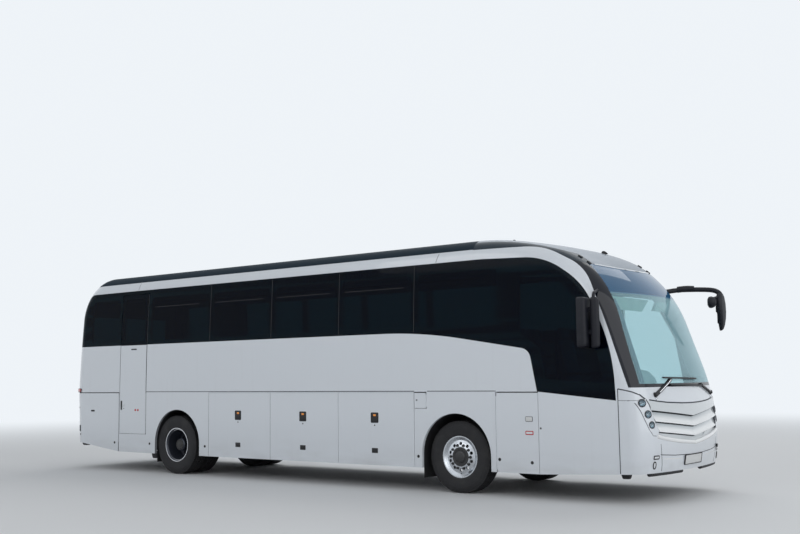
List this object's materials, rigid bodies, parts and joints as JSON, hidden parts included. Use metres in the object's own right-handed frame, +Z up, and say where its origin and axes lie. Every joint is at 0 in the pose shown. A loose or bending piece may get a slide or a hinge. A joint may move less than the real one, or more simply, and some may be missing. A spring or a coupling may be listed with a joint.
{
  "type": "coach bus",
  "caption": "Two-axle high-floor coach with a bowed nose, slatted grille, dark bonded windows, luggage lockers, steered front wheels and twin rear wheels.",
  "frame": {"origin": "on the ground under the middle of the body, between nose and tail and midway between the sides", "axes": "+X forwards, +Y to the left, the passenger door side, +Z up"},
  "size_m": [12.2113, 3.06, 3.6549],
  "materials": {
    "body_paint": "gloss white paint",
    "dome_paint": "silver-grey metallic paint",
    "tinted_glass": "deep grey-blue tinted bonded glass",
    "windscreen_glass": "laminated glass with a blue-green tint",
    "band_trim": "gloss black window surround",
    "lamp_lens": "clear lamp cover over bright reflectors",
    "tail_lens": "red lamp cover",
    "grille_plastic": "silver painted slats",
    "black_plastic": "moulded black plastic",
    "interior_trim": "grained grey interior trim",
    "floor_covering": "speckled grey floor covering",
    "seat_fabric": "blue woven plush",
    "chassis_paint": "satin black chassis paint",
    "engine_iron": "painted iron castings",
    "tyre": "black rubber",
    "alloy": "polished forged alloy",
    "wheel_steel": "dark grey painted steel"
  },
  "bodies": {
    "coach": {"bonnet_panel": "body_paint", "bulkheads": "floor_covering", "chassis_frame": "chassis_paint", "dashboard": "interior_trim", "driver_seat": "seat_fabric", "engine": "engine_iron", "floor_deck": "floor_covering", "front_axle": "chassis_paint", "front_bumper": "body_paint", "front_dome": "dome_paint", "headlamps": "lamp_lens", "lamp_pods": "body_paint", "louvre_grille": "grille_plastic", "lower_side_left": "body_paint", "lower_side_right": "body_paint", "luggage_floor": "floor_covering", "mirror_left": "black_plastic", "mirror_right": "black_plastic", "mud_flaps": "black_plastic", "parcel_racks": "interior_trim", "passenger_door": "body_paint", "passenger_door_glass": "tinted_glass", "passenger_seats": "seat_fabric", "rear_axle": "chassis_paint", "rear_wall": "body_paint", "rear_window": "tinted_glass", "roof_shell": "body_paint", "side_glass": "tinted_glass", "side_wall_left": "body_paint", "side_wall_right": "body_paint", "steering_wheel": "black_plastic", "tail_lamps": "tail_lens", "wheel_liners": "black_plastic", "window_frames": "band_trim", "windscreen": "windscreen_glass", "wipers": "black_plastic"},
    "luggage_door_right_1": {"luggage_door_right_1": "body_paint"},
    "luggage_door_right_2": {"luggage_door_right_2": "body_paint"},
    "luggage_door_right_3": {"luggage_door_right_3": "body_paint"},
    "front_locker_right": {"front_locker_right": "body_paint"},
    "engine_flap_right": {"engine_flap_right": "body_paint"},
    "knuckle_right": {"knuckle_right": "chassis_paint"},
    "front_wheel_right": {"front_tyre_right": "tyre", "front_rim_right": "alloy"},
    "rear_wheels_right": {"rear_tyres_right": "tyre", "rear_rims_right": "wheel_steel"},
    "luggage_door_left_1": {"luggage_door_left_1": "body_paint"},
    "luggage_door_left_2": {"luggage_door_left_2": "body_paint"},
    "luggage_door_left_3": {"luggage_door_left_3": "body_paint"},
    "front_locker_left": {"front_locker_left": "body_paint"},
    "engine_flap_left": {"engine_flap_left": "body_paint"},
    "knuckle_left": {"knuckle_left": "chassis_paint"},
    "front_wheel_left": {"front_tyre_left": "tyre", "front_rim_left": "alloy"},
    "rear_wheels_left": {"rear_tyres_left": "tyre", "rear_rims_left": "wheel_steel"},
    "emergency_door": {"emergency_door": "body_paint", "emergency_door_glass": "tinted_glass"},
    "fuel_flap": {"fuel_flap": "body_paint"},
    "engine_lid": {"engine_lid": "body_paint"}
  },
  "joints": [
    {"name": "luggage_door_right_1_hinge", "type": "hinge", "parent": "coach", "child": "luggage_door_right_1", "pos_m": [-1.4345, -1.272, 1.442], "axis": [-1, 0, 0], "range_deg": [0, 90]},
    {"name": "luggage_door_right_2_hinge", "type": "hinge", "parent": "coach", "child": "luggage_door_right_2", "pos_m": [0.0575, -1.272, 1.442], "axis": [-1, 0, 0], "range_deg": [0, 90]},
    {"name": "luggage_door_right_3_hinge", "type": "hinge", "parent": "coach", "child": "luggage_door_right_3", "pos_m": [1.5485, -1.272, 1.442], "axis": [-1, 0, 0], "range_deg": [0, 90]},
    {"name": "front_locker_right_hinge", "type": "hinge", "parent": "coach", "child": "front_locker_right", "pos_m": [3.732, -1.272, 0.9], "axis": [0, 0, -1], "range_deg": [0, 90]},
    {"name": "engine_flap_right_hinge", "type": "hinge", "parent": "coach", "child": "engine_flap_right", "pos_m": [-4.663, -1.272, 0.9], "axis": [0, 0, 1], "range_deg": [0, 90]},
    {"name": "steer_right", "type": "hinge", "parent": "coach", "child": "knuckle_right", "pos_m": [3.043, -0.96, 0.515], "axis": [0, 0, 1], "range_deg": [-38, 38]},
    {"name": "front_wheel_right_spin", "type": "hinge", "parent": "knuckle_right", "child": "front_wheel_right", "pos_m": [3.043, -1.052, 0.515], "axis": [0, 1, 0], "continuous": true},
    {"name": "rear_wheels_right_spin", "type": "hinge", "parent": "coach", "child": "rear_wheels_right", "pos_m": [-3.077, -0.917, 0.515], "axis": [0, 1, 0], "continuous": true},
    {"name": "luggage_door_left_1_hinge", "type": "hinge", "parent": "coach", "child": "luggage_door_left_1", "pos_m": [-1.4345, 1.272, 1.442], "axis": [1, 0, 0], "range_deg": [0, 90]},
    {"name": "luggage_door_left_2_hinge", "type": "hinge", "parent": "coach", "child": "luggage_door_left_2", "pos_m": [0.0575, 1.272, 1.442], "axis": [1, 0, 0], "range_deg": [0, 90]},
    {"name": "luggage_door_left_3_hinge", "type": "hinge", "parent": "coach", "child": "luggage_door_left_3", "pos_m": [1.5485, 1.272, 1.442], "axis": [1, 0, 0], "range_deg": [0, 90]},
    {"name": "front_locker_left_hinge", "type": "hinge", "parent": "coach", "child": "front_locker_left", "pos_m": [3.732, 1.272, 0.9], "axis": [0, 0, 1], "range_deg": [0, 90]},
    {"name": "engine_flap_left_hinge", "type": "hinge", "parent": "coach", "child": "engine_flap_left", "pos_m": [-4.663, 1.272, 0.9], "axis": [0, 0, -1], "range_deg": [0, 90]},
    {"name": "steer_left", "type": "hinge", "parent": "coach", "child": "knuckle_left", "pos_m": [3.043, 0.96, 0.515], "axis": [0, 0, 1], "range_deg": [-38, 38]},
    {"name": "front_wheel_left_spin", "type": "hinge", "parent": "knuckle_left", "child": "front_wheel_left", "pos_m": [3.043, 1.052, 0.515], "axis": [0, 1, 0], "continuous": true},
    {"name": "rear_wheels_left_spin", "type": "hinge", "parent": "coach", "child": "rear_wheels_left", "pos_m": [-3.077, 0.917, 0.515], "axis": [0, 1, 0], "continuous": true},
    {"name": "emergency_door_hinge", "type": "hinge", "parent": "coach", "child": "emergency_door", "pos_m": [-3.882, -1.272, 1.5], "axis": [0, 0, 1], "range_deg": [0, 90]},
    {"name": "fuel_flap_hinge", "type": "hinge", "parent": "coach", "child": "fuel_flap", "pos_m": [2.519, -1.272, 1.3], "axis": [0, 0, 1], "range_deg": [0, 90]},
    {"name": "engine_lid_hinge", "type": "hinge", "parent": "coach", "child": "engine_lid", "pos_m": [-6.094, 0, 1.386], "axis": [0, 1, 0], "range_deg": [0, 90]}
  ],
  "couplings": [
    {"joint": "steer_left", "follows": "steer_right", "ratio": 1}
  ]
}
